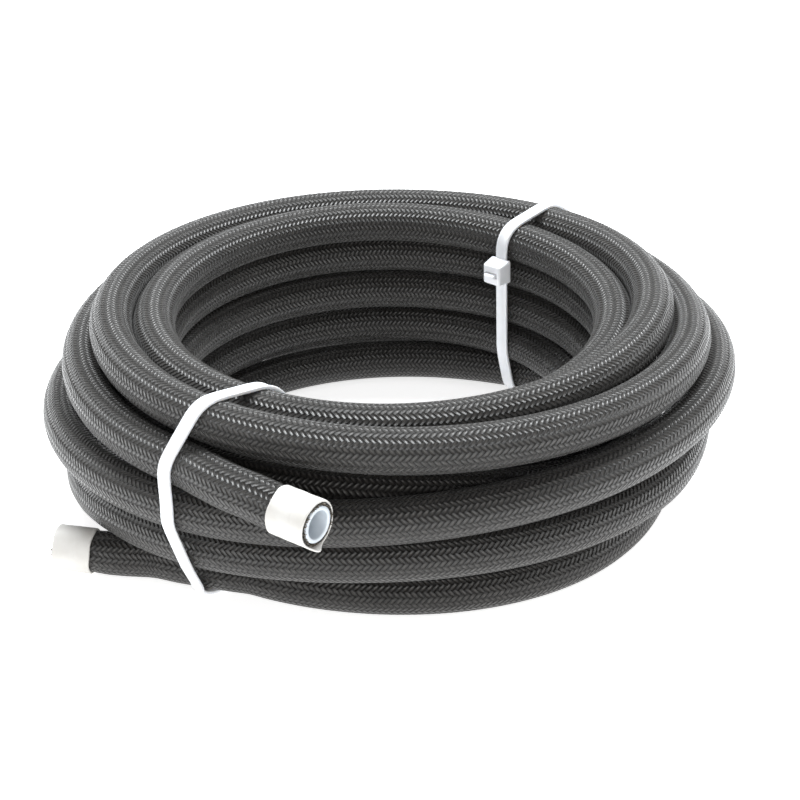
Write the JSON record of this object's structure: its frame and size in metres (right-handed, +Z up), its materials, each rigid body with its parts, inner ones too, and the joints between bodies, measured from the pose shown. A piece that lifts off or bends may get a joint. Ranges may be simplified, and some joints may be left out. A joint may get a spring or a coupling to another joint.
{
  "type": "braided hose coil",
  "caption": "Round coil of flexible black braided hose with a white fluoropolymer liner, cut ends wrapped in white tape, bundled by nylon cable ties.",
  "frame": {"origin": "on the floor, in the middle of the part's bounding box", "axes": "+Z up along the coil's axis; the cut ends lie on the -Y side, the upper one pointing towards +X and the lower one towards -X"},
  "size_m": [0.2384, 0.2482, 0.0823],
  "materials": {
    "hose_cover": "tight two-over-two braid of black nylon yarn, slight sheen on the strands",
    "steel_braid": "fine stainless wire braid, dull at the cut ends",
    "liner": "smooth waxy white fluoropolymer tube",
    "end_tape": "thin white adhesive tape, lightly creased",
    "cable_tie": "smooth natural white nylon"
  },
  "bodies": {
    "root": {"hose_coil": "hose_cover", "hose_end_upper": "hose_cover", "hose_end_lower": "hose_cover", "steel_braid_upper": "steel_braid", "steel_braid_lower": "steel_braid", "liner_upper": "liner", "liner_lower": "liner", "end_tape_upper": "end_tape", "end_tape_lower": "end_tape", "cable_tie_front": "cable_tie", "cable_tie_rear": "cable_tie"}
  },
  "joints": []
}
